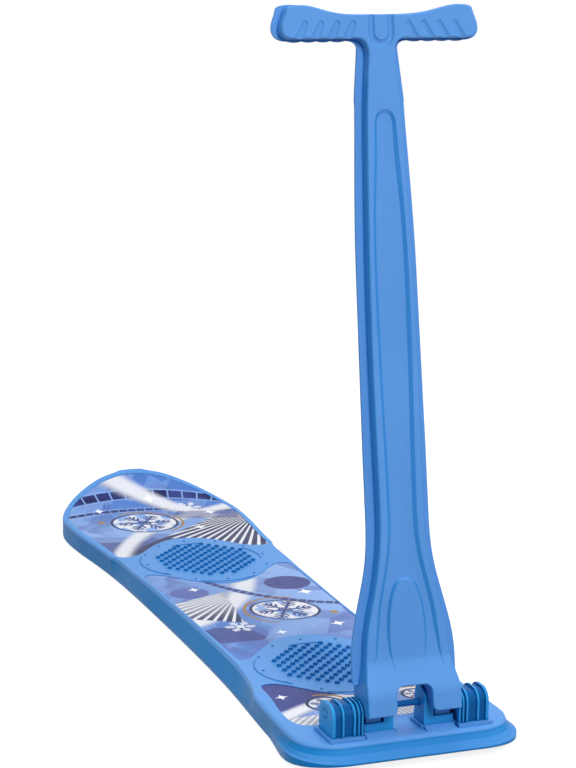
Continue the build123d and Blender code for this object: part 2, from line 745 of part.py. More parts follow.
def recess_face(n, shrink):
    """The long recess of the panel, drawn at a depth n and drawn in by shrink."""
    low = 26.0
    flank = Spline(
        (40.2 - shrink, low),
        (36.2 - shrink, 66.0),
        (31.0 - shrink, 109.0),
        (24.8 - shrink, 136.0),
        (18.2 - shrink, 172.0),
        (16.7 - shrink, 215.0),
        (17.8 - shrink, 288.0),
        (19.3 - shrink, 423.0),
        (17.0 - shrink, 527.0),
        (12.6 - shrink * 0.9, 598.0),
        (0, 620.5 - shrink),
        tangents=[(-0.1, 1), (-1, 0)],
    )
    return Plane.XZ.offset(n) * mirrored_face([Line((0, low), (40.2 - shrink, low)), flank])


def tongue_face(n, grow):
    """The raised tongue at the foot of the recess."""
    low = 22.0
    flank = Spline(
        (12.0 + grow, low),
        (18.0 + grow, 51.0),
        (19.8 + grow, 72.0),
        (18.4 + grow, 95.0),
        (13.0 + grow, 121.0),
        (0, 132.5 + grow),
        tangents=[(0.2, 1), (-1, 0)],
    )
    return Plane.XZ.offset(n) * mirrored_face([Line((0, low), (12.0 + grow, low)), flank])


def recess_tool():
    """What is cut from the panel for the recess, round the raised tongue."""
    floor = PANEL_FRONT - RECESS_DEPTH
    over = PANEL_FRONT + 10.0
    tool = loft([recess_face(PANEL_FRONT, 0.0), recess_face(floor, RECESS_SLOPE)], ruled=True)
    tool = tool + loft([recess_face(PANEL_FRONT, 0.0), recess_face(over, 0.0)], ruled=True)
    tongue = loft([tongue_face(PANEL_FRONT, 0.0), tongue_face(floor, TONGUE_SLOPE)], ruled=True)
    tongue = tongue + loft([tongue_face(PANEL_FRONT, 0.0), tongue_face(over, 0.0)], ruled=True)
    far = -over - 20.0
    steps = 9
    points = []
    for k in range(steps + 1):
        z = FADE_TOP - (FADE_TOP - FADE_FOOT + 8.0) * k / steps
        share = (z - FADE_FOOT) / (FADE_TOP - FADE_FOOT)
        points.append((RECESS_DEPTH * share * (2 - share) - front_reach(z), z))
    edges = [
        Line((-floor, 800), points[0]),
        Spline(*points),
        Line(points[-1], (far, points[-1][1])),
        Line((far, points[-1][1]), (far, 800)),
        Line((far, 800), (-floor, 800)),
    ]
    return (tool - tongue) & across(Face(Wire(edges)))


def grip_groove(k, side):
    """One finger groove: a shallow cone that narrows upwards."""
    low_x = GRIP_FIRST[0] - k * GRIP_STEP
    high_x = GRIP_FIRST[1] - k * GRIP_STEP
    wide, narrow = GRIP_RADII
    low = Vector(side * low_x, GRIP_DEPTHS[0] - PANEL_FRONT - wide, BAR_HEIGHT - BAR_DEPTH - 3.0)
    high = Vector(side * high_x, GRIP_DEPTHS[1] - PANEL_FRONT - narrow, BAR_HEIGHT - 10.5)
    axis = high - low
    cone = Cone(wide, narrow, axis.length, align=ON_BASE)
    return Plane(origin=low, z_dir=axis) * cone + Pos(*high) * Sphere(narrow)


def centre_channel():
    """The U channel at the middle of the bar."""
    radius = 10.8
    turn_z = BAR_HEIGHT - 20.5
    path = Wire(
        [
            Line((-radius, turn_z + 40), (-radius, turn_z)),
            ThreePointArc((-radius, turn_z), (0, turn_z - radius), (radius, turn_z)),
            Line((radius, turn_z), (radius, turn_z + 40)),
        ]
    )
    path = Plane.XZ.offset(PANEL_FRONT + 2.5) * path
    start = Plane(origin=path @ 0, z_dir=path % 0)
    return sweep(start * Circle(4.7), path=path)


def cutout():
    """The gap between the two feet, seen from the front."""
    edges = [
        Line((0, CUTOUT_TOP), (CUTOUT_HALF - CUTOUT_ROUND, CUTOUT_TOP)),
        ThreePointArc(
            (CUTOUT_HALF - CUTOUT_ROUND, CUTOUT_TOP),
            (
                CUTOUT_HALF - CUTOUT_ROUND * (1 - sin(pi / 4)),
                CUTOUT_TOP - CUTOUT_ROUND * (1 - sin(pi / 4)),
            ),
            (CUTOUT_HALF, CUTOUT_TOP - CUTOUT_ROUND),
        ),
        Line((CUTOUT_HALF, CUTOUT_TOP - CUTOUT_ROUND), (CUTOUT_HALF, FOOT_BOTTOM + TOE_ROUND)),
        ThreePointArc(
            (CUTOUT_HALF, FOOT_BOTTOM + TOE_ROUND),
            (
                CUTOUT_HALF + TOE_ROUND * (1 - sin(pi / 4)),
                FOOT_BOTTOM + TOE_ROUND * (1 - sin(pi / 4)),
            ),
            (CUTOUT_HALF + TOE_ROUND, FOOT_BOTTOM),
        ),
        Line((CUTOUT_HALF + TOE_ROUND, FOOT_BOTTOM), (CUTOUT_HALF + TOE_ROUND, FOOT_BOTTOM - 1)),
        Line((CUTOUT_HALF + TOE_ROUND, FOOT_BOTTOM - 1), (0, FOOT_BOTTOM - 1)),
    ]
    return slab(mirrored_face(edges), -FAR, FAR)


def offset_cutout(grow):
    """The cutout's outline with a wall round it."""
    half, top = CUTOUT_HALF + grow, CUTOUT_TOP + grow
    return mirrored_face(
        [
            Line((0, top), (half, top)),
            Line((half, top), (half, FOOT_BOTTOM - 1)),
            Line((half, FOOT_BOTTOM - 1), (0, FOOT_BOTTOM - 1)),
        ]
    )


def mirrored_backing():
    """The wall behind the recess floor."""
    flank = Spline(
        (32.0, 60.0),
        (27.0, 116.0),
        (18.0, 160.0),
        (17.0, 215.0),
        (18.0, 423.0),
        (14.0, 560.0),
        (0, 624.0),
        tangents=[(-0.1, 1), (-1, 0)],
    )
    return mirrored_face([Line((0, 60.0), (32.0, 60.0)), flank])


def front_edges(shape):
    """The outer edges of the panel's and the feet's front face."""
    chosen = []
    for edge in shape.edges():
        points = [edge @ t for t in (0.1, 0.5, 0.9)]
        height = sum(p.Z for p in points) / 3
        level = abs(points[0].Z - points[2].Z) < 0.01
        seam = level and min(abs(height - RAMP_TOP), abs(height - RAMP_FOOT)) < 0.01
        forward = all(abs(-p.Y - front_reach(p.Z)) < 0.25 for p in points)
        if forward and not seam:
            chosen.append(edge)
    return chosen


def handle():
    low = FOOT_BOTTOM
    body = slab(mirrored_face(panel_edges(low)), 0, FAR) & front_profile(back=FLANGE_BACK)
    body = body - cutout()
    body = fillet(front_edges(body), STEM_ROUND)
    flange = slab(flange_face(), FLANGE_BACK, FLANGE_BACK + FLANGE)
    body = body + flange
    hollow = slab(mirrored_face(panel_edges(low + FOOT_WALL, PANEL_WALL)), -5, FAR)
    hollow = hollow & front_profile(depth=PANEL_WALL, back=-5, low=low + FOOT_WALL)
    lining = slab(offset_cutout(FOOT_WALL), -FAR, FAR)
    hollow = hollow - lining
    body = body - hollow
    behind_recess = PANEL_FRONT - RECESS_DEPTH - PANEL_WALL + 0.6
    backing = slab(mirrored_backing(), behind_recess, PANEL_FRONT - PANEL_WALL)
    ribs = []
    depth = 40.0
    rib_y = -FLANGE_BACK - 1 - depth / 2
    for k in range(STEM_RIBS):
        z = 78.0 + k * (BAR_HEIGHT - 120.0) / (STEM_RIBS - 1)
        ribs.append(Pos(0, rib_y, z) * Box(2 * FAR, depth, RIB))
    for k in range(1, 6):
        for side in (-1, 1):
            ribs.append(Pos(side * (6.0 + GRIP_STEP * k), rib_y, BAR_HEIGHT - 5) * Box(RIB, depth, 80))
    inner = (ribs[0] + ribs[1:]) & hollow
    body = body + inner + (backing & hollow)
    sweep_room = along_x(EAR_SWEEP, -CRADLE_INNER - EAR_WIDTH - 0.5, CRADLE_INNER + EAR_WIDTH + 0.5)
    behind = block(-CRADLE_INNER - EAR_WIDTH - 0.5, CRADLE_INNER + EAR_WIDTH + 0.5, -EAR_SWEEP, FAR, -FAR, 0)
    body = body - sweep_room - behind
    inner_x = CRADLE_INNER + EAR_WIDTH + 0.5
    for side in (-1, 1):
        barrel = along_x(BARREL_RADIUS, inner_x, FOOT_HALF)
        web = block(inner_x, inner_x + FOOT_WALL, -FOOT_FRONT + 1.5, 0, low, BARREL_RADIUS)
        cheek = along_x(BARREL_RADIUS + 1.4, FOOT_HALF - FOOT_WALL, FOOT_HALF)
        knee = block(FOOT_HALF - FOOT_WALL, FOOT_HALF, -FLANGE_BACK - 1, 6.0, 0, FLANGE_FOOT + 2)
        foot = barrel + web + cheek + knee
        if side < 0:
            foot = foot.mirror(Plane.YZ)
        body = body + foot
    body = body - recess_tool() - centre_channel()
    for side in (-1, 1):
        for k in range(GRIP_COUNT):
            body = body - grip_groove(k, side)
    body = Rot(-LEAN, 0, 0) * body
    for side in (-1, 1):
        x0, x1 = sorted((side * (inner_x + 2.0), side * (CRADLE_OUTER - 3.0)))
        body = body + block(x0, x1, 2.5 - CRADLE_FRONT, -4.0, CRADLE_TOP + STOP_GAP, -4.0)
    return body - along_x(AXLE_RADIUS + BORE_GAP, -FAR, FAR)


def build():
    """Every node with its shape, in its place."""
    nodes = {"deck_shell": deck_shell(), "sole_plate": sole_plate()}
    nodes.update(labels())
    nodes["right_outer_bracket"] = at_axle(outer_bracket())
    nodes["left_outer_bracket"] = nodes["right_outer_bracket"].mirror(Plane.YZ)
    nodes["right_inner_cradle"] = at_axle(inner_cradle())
    nodes["left_inner_cradle"] = nodes["right_inner_cradle"].mirror(Plane.YZ)
    nodes["axle_rod"] = at_axle(axle_rod())
    nodes["right_axle_cap"] = at_axle(axle_cap())
    nodes["left_axle_cap"] = nodes["right_axle_cap"].mirror(Plane.YZ)
    nodes["right_friction_washer"] = at_axle(friction_washer())
    nodes["left_friction_washer"] = nodes["right_friction_washer"].mirror(Plane.YZ)
    nodes["handle_moulding"] = at_axle(handle())
    nodes["sole_screws"] = Compound([Pos(x, y, 0) * sole_screw() for x, y in sole_screw_places()])
    seat = HINGE_BOSS_Z
    screws = [Pos(x, y, seat) * hinge_screw() for x, y in hinge_screw_places()]
    nodes["hinge_screws"] = Compound(screws)
    return nodes


for name, shape in build().items():
    save(name, shape)
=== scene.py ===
import math

import bpy
from mathutils import Matrix, Vector


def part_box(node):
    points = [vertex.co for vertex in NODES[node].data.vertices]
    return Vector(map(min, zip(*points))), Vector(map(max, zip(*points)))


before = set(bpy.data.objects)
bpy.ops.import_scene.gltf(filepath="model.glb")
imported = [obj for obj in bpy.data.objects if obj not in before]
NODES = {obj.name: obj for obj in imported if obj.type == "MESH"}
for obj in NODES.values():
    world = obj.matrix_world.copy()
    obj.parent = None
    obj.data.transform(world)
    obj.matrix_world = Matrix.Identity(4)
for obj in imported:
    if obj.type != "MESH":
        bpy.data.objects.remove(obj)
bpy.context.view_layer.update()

# Sizes taken from the frame, in metres
DECK_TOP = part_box("front_label")[1].z + 0.0006
WALL_TOP = DECK_TOP - 0.0025
BRACKET_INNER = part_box("right_outer_bracket")[0].x

# Places on the board and handle, in metres
PAD_Y = (-0.251, 0.176)
PAD_REACH = 0.095
BAR_BOTTOM = 0.705

# Bays between a hinge block's ribs, in millimetres from its inner face
BRACKET_BAYS = ((1.8, 4.2), (5.8, 8.6), (10.8, 21.2), (23.4, 31.2))
BAY_EDGE = 0.3

# Finish colours, linear
BOARD_BLUE = (0.104, 0.310, 0.710)
# Painted shade for crevices on the board and handle and for the handle's sideways walls; also the sole's own
# colour
SHADE_AND_SOLE_BLUE = (0.012, 0.205, 0.580)
# Painted shade on the board's outer walls
WALL_SHADE_BLUE = (0.003, 0.185, 0.510)
# Painted shade on the studs
STUD_SHADE_BLUE = (0.002, 0.150, 0.450)
HANDLE_BLUE = (0.096, 0.290, 0.690)
HINGE_BLUE = (0.022, 0.290, 0.680)
# Painted shade in the hinge bays and in crevices of the hinge, axle and sole
HINGE_SHADE_BLUE = (0.000, 0.095, 0.320)
AXLE_BLUE = (0.001, 0.100, 0.340)
WASHER_BLACK = (0.020, 0.020, 0.024)
# Painted shade in the washers' crevices
WASHER_SHADE = (0.008, 0.008, 0.010)
STEEL_DARK = (0.50, 0.51, 0.52)
STEEL_PALE = (0.66, 0.67, 0.69)

# How strongly each finish mirrors its surroundings
PLASTIC_SPECULAR = 0.12
WASHER_SPECULAR = 0.35
FILM_SPECULAR = 0.10

# Print colours, linear
SKY_PALE = (0.25, 0.42, 0.80)
SKY_MID = (0.075, 0.20, 0.58)
PERIWINKLE = (0.085, 0.130, 0.420)
VIOLET = (0.035, 0.050, 0.240)
NAVY = (0.012, 0.019, 0.100)
CRYSTAL_BLUE = (0.020, 0.045, 0.230)
PAPER = (0.80, 0.82, 0.88)
GREY = (0.42, 0.44, 0.52)
AMBER = (0.36, 0.20, 0.035)
WHITE = (0.95, 0.96, 1.0)

# Each label's middle along the board, in millimetres
LABEL_MIDDLES = {"rear": 360.0, "middle": -37.0, "front": -360.0}

# The camera's axes and place, in metres, and its lens in millimetres
CAMERA_RIGHT = (0.93277, -0.36014, 0.01535)
CAMERA_UP = (0.06370, 0.20660, 0.97635)
CAMERA_FORWARD = (0.35479, 0.90973, -0.21566)
CAMERA_PLACE = (-0.9506, -2.5477, 0.9007)
CAMERA_LENS = 107.96
CAMERA_SENSOR = 36.0

# Lamps: name, place and target in metres, side in metres, power in watts
LAMPS = (
    ("key", (0.1, -3.2, 2.4), (0.0, -0.2, 0.3), 1.1, 72.0),
    ("side", (2.6, -0.9, 2.0), (0.0, 0.0, 0.2), 1.2, 22.0),
    ("top", (0.2, 0.4, 3.2), (0.0, 0.0, 0.0), 2.2, 32.0),
    ("fill", (-2.8, -0.2, 1.0), (0.0, 0.0, 0.1), 1.6, 16.0),
)

# Floor and dome
FLOOR_REACH = 14.0
FLOOR_DROP = 0.0003
FLOOR_TONES = ((0.29, 0.29, 0.30), (0.31, 0.31, 0.32))
FLOOR_GLOW = 0.86
DOME_LOW = 0.16
DOME_HIGH = 0.56


class Tree:
    """A node tree, with short calls for the nodes that these finishes use."""

    def __init__(self, tree):
        self.tree = tree
        self.coordinates = self.add("ShaderNodeTexCoord").outputs
        self.place = self.coordinates["Object"]

    def add(self, kind, **settings):
        node = self.tree.nodes.new(kind)
        for key, value in settings.items():
            setattr(node, key, value)
        return node

    def put(self, socket, value):
        """Links a node's output to a socket, or sets the socket to a plain value."""
        if isinstance(value, bpy.types.NodeSocket):
            self.tree.links.new(value, socket)
        elif value is not None:
            socket.default_value = value

    def math(self, operation, a, b=None, c=None):
        node = self.add("ShaderNodeMath", operation=operation)
        for socket, value in zip(node.inputs, (a, b, c)):
            self.put(socket, value)
        return node.outputs[0]

    def plus(self, a, b):
        return self.math("ADD", a, b)

    def minus(self, a, b):
        return self.math("SUBTRACT", a, b)

    def times(self, a, b):
        return self.math("MULTIPLY", a, b)

    def largest(self, *values):
        found = values[0]
        for value in values[1:]:
            found = self.math("MAXIMUM", found, value)
        return found

    def ramp(self, value, low, high, start=0.0, end=1.0, curve="SMOOTHSTEP"):
        """A step from start to end as value goes from low to high."""
        node = self.add("ShaderNodeMapRange", interpolation_type=curve)
        keys = ("Value", "From Min", "From Max", "To Min", "To Max")
        for key, item in zip(keys, (value, low, high, start, end)):
            self.put(node.inputs[key], item)
        return node.outputs["Result"]

    def mix(self, share, a, b):
        """A colour between a and b."""
        node = self.add("ShaderNodeMix", data_type="RGBA")
        self.put(node.inputs[0], share)
        for socket, value in ((node.inputs[6], a), (node.inputs[7], b)):
            self.put(socket, (*value, 1.0) if isinstance(value, tuple) else value)
        return node.outputs[2]

    def noise(self, scale, detail=2.0, place=None, roughness=0.5):
        node = self.add("ShaderNodeTexNoise")
        self.put(node.inputs["Vector"], place or self.place)
        self.put(node.inputs["Scale"], scale)
        self.put(node.inputs["Detail"], detail)
        self.put(node.inputs["Roughness"], roughness)
        return node.outputs["Fac"]

    def axes(self, vector=None):
        node = self.add("ShaderNodeSeparateXYZ")
        self.put(node.inputs[0], vector or self.place)
        return node.outputs

    def vector(self, x, y, z=0.0):
        node = self.add("ShaderNodeCombineXYZ")
        for socket, value in zip(node.inputs, (x, y, z)):
            self.put(socket, value)
        return node.outputs[0]

    def normal(self):
        """The surface's own direction, in the object's axes."""
        turned = self.add("ShaderNodeVectorTransform", vector_type="NORMAL")
        turned.convert_from = "WORLD"
        turned.convert_to = "OBJECT"
        self.put(turned.inputs[0], self.add("ShaderNodeNewGeometry").outputs["Normal"])
        return self.axes(turned.outputs[0])

    def crevice(self, distance):
        """1 in the open, towards 0 in narrow places."""
        node = self.add("ShaderNodeAmbientOcclusion", samples=8)
        self.put(node.inputs["Distance"], distance)
        return node.outputs["AO"]

    def seen(self):
        """1 for rays that show the surround itself, and 0 for those that carry its light."""
        path = self.add("ShaderNodeLightPath").outputs
        return self.largest(path["Is Camera Ray"], path["Is Glossy Ray"], path["Is Transmission Ray"])


class Graph(Tree):
    """A material and its node tree."""

    def __init__(self, name):
        self.material = bpy.data.materials.new(name)
        self.material.use_nodes = True
        super().__init__(self.material.node_tree)
        self.shader = self.tree.nodes["Principled BSDF"]

    def bump(self, height, strength, distance):
        node = self.add("ShaderNodeBump")
        self.put(node.inputs["Height"], height)
        self.put(node.inputs["Strength"], strength)
        self.put(node.inputs["Distance"], distance)
        self.put(self.shader.inputs["Normal"], node.outputs[0])

    def finish(self, colour, roughness, specular=PLASTIC_SPECULAR):
        self.put(self.shader.inputs["Base Color"], colour)
        self.put(self.shader.inputs["Roughness"], roughness)
        self.put(self.shader.inputs["Specular IOR Level"], specular)
        return self.material


def moulded(name, colour, painted_shade, roughness=0.42, crevice=0.006, shut=0.25, clear=0.95):
    """Satin moulded plastic: faint flow clouds, fine grain, scuffs, and painted shade in crevices, where the
    colour turns to a shade colour.
    """
    g = Graph(name)
    cloud = g.noise(9.0, 3.0)
    # Painted shade: where ambient occlusion finds a narrow place, the colour turns to the shade colour
    open_share = g.ramp(g.crevice(crevice), shut, clear)
    base = g.mix(open_share, painted_shade, colour)
    paler = tuple(min(1.0, c * 1.10 + 0.006) for c in colour)
    base = g.mix(g.ramp(cloud, 0.35, 0.75, 0.0, 0.5), base, g.mix(open_share, painted_shade, paler))
    scuff_place = g.add("ShaderNodeMapping")
    scuff_place.inputs["Scale"].default_value = (6.0, 1.0, 2.0)
    g.put(scuff_place.inputs[0], g.place)
    scuffs = g.ramp(g.noise(130.0, 4.0, scuff_place.outputs[0], 0.7), 0.62, 0.78)
    grain = g.noise(2600.0, 2.0)
    rough = g.plus(g.ramp(cloud, 0.3, 0.7, roughness - 0.04, roughness + 0.05), g.times(scuffs, 0.06))
    g.bump(g.plus(grain, g.times(scuffs, 0.4)), 0.10, 0.0002)
    return g, base, rough


def board_material():
    """The deck's blue, with painted shade on the studs, strongest on their sides, and on the outer walls
    below the rim.
    """
    g, base, rough = moulded("board_plastic", BOARD_BLUE, SHADE_AND_SOLE_BLUE)
    _, y, z = g.axes()
    up = g.normal()[2]
    away = [g.math("ABSOLUTE", g.minus(y, pad)) for pad in PAD_Y]
    near_pad = g.largest(*[g.ramp(distance, PAD_REACH, PAD_REACH - 0.002) for distance in away])
    raised = g.ramp(z, DECK_TOP + 0.0002, DECK_TOP + 0.0010)
    # Painted shade on the studs: full on their sides, most of the way on their tops
    stud_shade = g.times(g.times(near_pad, raised), g.ramp(up, 0.98, 0.90, 0.70, 1.0))
    base = g.mix(stud_shade, base, STUD_SHADE_BLUE)
    # Painted shade on the outer walls below the rim, by how far they face sideways
    wall_shade = g.times(g.ramp(up, 0.97, 0.60, 0.55, 1.0), g.ramp(z, WALL_TOP, WALL_TOP - 0.003))
    base = g.mix(wall_shade, base, WALL_SHADE_BLUE)
    return g.finish(base, rough)


def handle_material():
    """The handle's blue, with painted shade on the slopes and walls that face sideways, weaker on the bar.
    """
    g, base, rough = moulded("handle_plastic", HANDLE_BLUE, SHADE_AND_SOLE_BLUE, crevice=0.004, shut=0.35, clear=0.88)
    # Painted shade on faces turned sideways, weaker on the bar
    sideways = g.ramp(g.math("ABSOLUTE", g.normal()[0]), 0.08, 0.60)
    strength = g.ramp(g.axes()[2], BAR_BOTTOM, BAR_BOTTOM - 0.015, 0.35, 0.75)
    return g.finish(g.mix(g.times(sideways, strength), base, SHADE_AND_SOLE_BLUE), rough)


def hinge_material():
    """The hinge blocks' blue, with painted shade in the bays between their ribs."""
    g, base, rough = moulded("hinge_plastic", HINGE_BLUE, HINGE_SHADE_BLUE, 0.32, 0.008, 0.40)
    # Painted shade in the bays between the ribs, on faces that don't face sideways
    across = g.times(g.minus(g.math("ABSOLUTE", g.axes()[0]), BRACKET_INNER), 1000.0)
    bays = []
    for low, high in BRACKET_BAYS:
        past_low = g.ramp(across, low, low + BAY_EDGE)
        bays.append(g.times(past_low, g.ramp(across, high, high - BAY_EDGE)))
    facing = g.ramp(g.math("ABSOLUTE", g.normal()[0]), 0.6, 0.4)
    return g.finish(g.mix(g.times(g.largest(*bays), facing), base, HINGE_SHADE_BLUE), rough)


def axle_material():
    g, base, rough = moulded("axle_plastic", AXLE_BLUE, HINGE_SHADE_BLUE, roughness=0.30, crevice=0.003)
    return g.finish(base, rough)


def sole_material():
    """The running base: smoother, with long fine scratches along the board."""
    g, base, rough = moulded("sole_plastic", SHADE_AND_SOLE_BLUE, HINGE_SHADE_BLUE, roughness=0.30)
    stretched = g.add("ShaderNodeMapping")
    stretched.inputs["Scale"].default_value = (420.0, 3.0, 3.0)
    g.put(stretched.inputs[0], g.place)
    scratch = g.ramp(g.noise(1.0, 5.0, stretched.outputs[0], 0.65), 0.60, 0.72)
    pale = tuple(min(1.0, c * 1.5 + 0.03) for c in SHADE_AND_SOLE_BLUE)
    base = g.mix(g.times(scratch, 0.35), base, pale)
    return g.finish(base, g.plus(rough, g.times(scratch, 0.15)))


def washer_material():
    g, base, rough = moulded("washer_rubber", WASHER_BLACK, WASHER_SHADE, roughness=0.6)
    return g.finish(base, rough, WASHER_SPECULAR)


def screw_material():
    """Zinc-plated steel with a faint turned grain."""
    g = Graph("screw_steel")
    spots = g.noise(900.0, 3.0)
    base = g.mix(spots, STEEL_DARK, STEEL_PALE)
    g.bump(g.noise(5200.0, 2.0), 0.15, 0.0001)
    g.shader.inputs["Metallic"].default_value = 1.0
    return g.finish(base, g.ramp(spots, 0.3, 0.7, 0.28, 0.42))


class Print(Graph):
    """A printed film: layers of colour drawn one over another in the label's own plane."""

    def __init__(self, name, origin):
        super().__init__(name)
        x, y, _ = self.axes()
        self.x = self.times(x, 1000.0)
        self.y = self.minus(self.times(y, 1000.0), origin)
        self.flat = self.vector(self.x, self.y)
        self.colour = None

    def along(self, turn):
        """How far each point lies in a direction, in millimetres from the label's middle."""
        node = self.add("ShaderNodeVectorMath", operation="DOT_PRODUCT")
        self.put(node.inputs[0], self.flat)
        self.put(node.inputs[1], (math.cos(math.radians(turn)), math.sin(math.radians(turn)), 0.0))
        return node.outputs["Value"]

    def at(self, x, y, turn=0.0):
        """Coordinates about a point in millimetres, turned by an angle in degrees."""
        c, s = math.cos(math.radians(turn)), math.sin(math.radians(turn))
        ahead = self.minus(self.along(turn), x * c + y * s)
        return ahead, self.minus(self.along(turn + 90.0), y * c - x * s)

    def length(self, u, v):
        return self.math("SQRT", self.plus(self.times(u, u), self.times(v, v)))

    def lay(self, share, colour):
        self.colour = self.mix(share, self.colour, colour)

    def facets(self, scale, turn, low, high, strength=1.0):
        """Flat ice facets: cells of a crystal pattern, each in its own tone."""
        u, v = self.at(0, 0, turn)
        cells = self.add("ShaderNodeTexVoronoi", feature="F1", distance="CHEBYCHEV")
        self.put(cells.inputs["Vector"], self.vector(self.times(u, 1.7), v, 0.0))
        self.put(cells.inputs["Scale"], scale)
        self.put(cells.inputs["Randomness"], 0.9)
        tone = self.axes(cells.outputs["Color"])[0]
        return self.times(self.ramp(tone, low, high), strength)

    def band(self, centre, radius, width, soft=0.6, turn=0.0, squeeze=1.0):
        """A curved band, part of a ring about a far centre."""
        u, v = self.at(*centre, turn)
        reach = self.length(u, self.times(v, squeeze))
        off = self.math("ABSOLUTE", self.minus(reach, radius))
        return self.ramp(off, width / 2 + soft, width / 2 - soft)

    def rays(self, centre, count, share, near, far):
        """Lines that fan out from a point."""
        u, v = self.at(*centre)
        wave = self.math("SINE", self.times(self.math("ARCTAN2", v, u), count))
        lines = self.ramp(wave, 1.0 - 2.2 * share, 1.0 - 1.4 * share)
        reach = self.length(u, v)
        ends = self.times(self.ramp(reach, near, near + 12.0), self.ramp(reach, far, far - 12.0))
        return self.times(lines, ends)

    def crystal(self, centre, size, turn=0.0, line=1.0):
        """A six-armed snow crystal with side branches."""
        u, v = self.at(*centre, turn)
        reach = self.length(u, v)
        angle = self.math("ARCTAN2", v, u)
        third = math.pi / 3
        folded = self.math("ABSOLUTE", self.minus(self.math("FLOORED_MODULO", angle, third), third / 2))
        along = self.times(reach, self.math("COSINE", folded))
        aside = self.times(reach, self.math("SINE", folded))
        inside = self.ramp(along, size, size - line)
        marks = [self.times(self.ramp(aside, line * 0.62, line * 0.30), inside)]
        slant = self.minus(along, self.times(aside, 0.9))
        for place, length in ((0.40, 0.26), (0.62, 0.24), (0.82, 0.13)):
            rise = self.math("ABSOLUTE", self.minus(slant, size * place))
            reached = self.ramp(aside, size * length, size * length - 0.5)
            marks.append(self.times(self.ramp(rise, line * 0.70, line * 0.35), reached))
        hexagon = self.math("ABSOLUTE", self.minus(along, size * 0.20))
        around = self.ramp(reach, size * 0.26, size * 0.24)
        marks.append(self.times(self.ramp(hexagon, line * 0.6, line * 0.3), around))
        return self.largest(*marks)

    def sparkles(self, *places):
        """Four-pointed white glints, each given as x, y and size."""
        for x, y, size in places:
            parts = [self.math("ABSOLUTE", part) for part in self.at(x, y)]
            roots = [self.math("POWER", self.times(part, 1 / size), 0.5) for part in parts]
            self.lay(self.ramp(self.plus(*roots), 1.0, 0.82), WHITE)

    def disc(self, centre, radius, soft=0.5, squeeze=1.0, turn=0.0):
        u, v = self.at(*centre, turn)
        return self.ramp(self.length(u, self.times(v, squeeze)), radius + soft, radius - soft)

    def half(self, centre, turn, soft=0.4):
        """The side of a line that lies ahead of a direction."""
        edge = centre[0] * math.cos(math.radians(turn)) + centre[1] * math.sin(math.radians(turn))
        return self.ramp(self.along(turn), edge - soft, edge + soft)

    def shard(self, *corners, soft=0.4):
        """A flat piece of ice with straight edges, its corners given anticlockwise."""
        share = None
        for a, b in zip(corners, corners[1:] + corners[:1]):
            inward = math.degrees(math.atan2(b[1] - a[1], b[0] - a[0])) + 90.0
            side = self.half(a, inward, soft)
            share = side if share is None else self.times(share, side)
        return share

    def medallion(self, centre, radius, turn, squeeze=1.0):
        """A snow crystal in a pale disc with a dark rim and part of an amber ring."""
        self.lay(self.disc(centre, radius, 0.8, squeeze, turn), NAVY)
        face = self.mix(self.facets(0.05, 10.0, 0.3, 0.8), PAPER, SKY_PALE)
        self.lay(self.disc(centre, radius - 3.8, 0.6, squeeze, turn), face)
        self.lay(self.crystal(centre, radius * 0.80, turn, radius * 0.09), CRYSTAL_BLUE)
        self.lay(self.times(self.band(centre, radius + 6.0, 3.4, 0.4), self.half(centre, turn)), AMBER)

    def panes(self, centre, radius, width, count):
        """A curved band of dark panes with pale joints between them."""
        u, v = self.at(*centre)
        wave = self.math("SINE", self.times(self.math("ARCTAN2", v, u), count))
        panes = self.ramp(self.math("ABSOLUTE", wave), 0.12, 0.22)
        tone = self.ramp(self.noise(24.0, 1.0), 0.40, 0.62)
        self.lay(self.times(self.band(centre, radius, width + 5.0), 0.8), SKY_PALE)
        self.lay(self.times(self.band(centre, radius, width), panes), self.mix(tone, NAVY, VIOLET))

    def sweep(self, centre, radius, width):
        """A broad pale sweep that shades to grey along one edge."""
        self.lay(self.times(self.band(centre, radius - width * 0.35, width * 0.8, width * 0.3), 0.75), GREY)
        self.lay(self.times(self.band(centre, radius, width, width * 0.28), 0.95), PAPER)

    def film(self):
        """The printed colour under a thin glossy film, with a faint dot screen."""
        dots = self.add("ShaderNodeTexVoronoi", feature="F1")
        self.put(dots.inputs["Vector"], self.place)
        self.put(dots.inputs["Scale"], 1400.0)
        screen = self.ramp(dots.outputs["Distance"], 0.1, 0.7, 0.0, 0.05)
        colour = self.mix(screen, self.colour, NAVY)
        self.bump(self.noise(60.0, 3.0), 0.12, 0.0006)
        return self.finish(colour, self.ramp(self.noise(40.0, 2.0), 0.3, 0.7, 0.26, 0.36), FILM_SPECULAR)


def sky(p, turn, low, high):
    """The ground of a label: a pale sky that deepens one way, cut into ice facets."""
    drift = p.plus(p.along(turn), p.times(p.noise(11.0, 2.0), 30.0))
    p.colour = p.mix(p.ramp(drift, low, high), SKY_PALE, SKY_MID)
    p.lay(p.facets(0.017, 24.0, 0.50, 0.62, 0.55), PERIWINKLE)
    p.lay(p.facets(0.027, -38.0, 0.62, 0.72, 0.40), SKY_PALE)


def fan(p, field, centre, count, near, far, ground):
    """A field of fine lines over a ground that is laid first."""
    p.lay(field, ground)
    p.lay(p.times(p.rays(centre, count, 0.34, near, far), field), PAPER)


